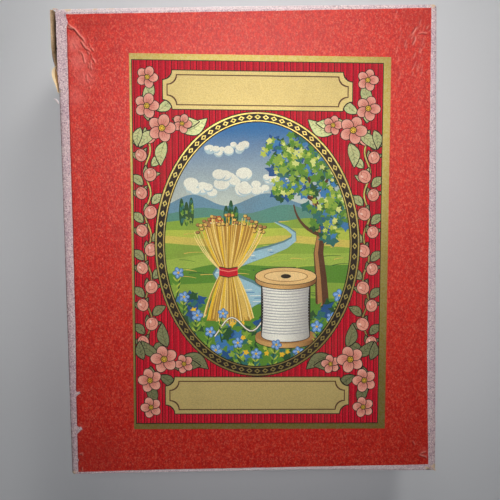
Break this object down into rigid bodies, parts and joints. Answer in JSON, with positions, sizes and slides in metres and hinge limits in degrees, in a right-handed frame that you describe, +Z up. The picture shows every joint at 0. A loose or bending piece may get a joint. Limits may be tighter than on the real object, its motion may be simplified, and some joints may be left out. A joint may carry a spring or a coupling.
{
  "type": "thread box",
  "caption": "Flat rectangular card box for linen thread, with a lift-off lid, paper-bound edges, a pasted red cover sheet and a large printed label.",
  "frame": {"origin": "centre of the base's underside, on the table", "axes": "+X across the label to its right, +Y up the label to its top edge, +Z up"},
  "size_m": [0.2025, 0.25, 0.0546],
  "materials": {
    "straw_board": "matt, fibrous",
    "gummed_paper": "matt",
    "granite_paper": "matt, finely speckled",
    "red_felt_paper": "matt, felted and mottled",
    "printed_label": "printed in colours with bronze ink, a little glossy",
    "lining_paper": "matt, yellowed"
  },
  "bodies": {
    "base": {"base_floor_board": "straw_board", "base_front_wall": "straw_board", "base_back_wall": "straw_board", "base_left_wall": "straw_board", "base_right_wall": "straw_board", "base_corner_stays": "gummed_paper", "base_side_strip": "granite_paper", "base_bottom_sheet": "granite_paper", "base_floor_lining": "lining_paper", "base_front_lining": "lining_paper", "base_back_lining": "lining_paper", "base_left_lining": "lining_paper", "base_right_lining": "lining_paper"},
    "lid": {"lid_top_board": "straw_board", "lid_front_wall": "straw_board", "lid_back_wall": "straw_board", "lid_left_wall": "straw_board", "lid_right_wall": "straw_board", "lid_corner_stays": "gummed_paper", "lid_side_strip": "granite_paper", "lid_top_sheet": "red_felt_paper", "lid_label": "printed_label", "lid_ceiling_lining": "lining_paper", "lid_front_lining": "lining_paper", "lid_back_lining": "lining_paper", "lid_left_lining": "lining_paper", "lid_right_lining": "lining_paper"}
  },
  "joints": [
    {"name": "lid_lift", "type": "slide", "parent": "base", "child": "lid", "axis": [0, 0, 1], "range_m": [0, 0.1]}
  ]
}
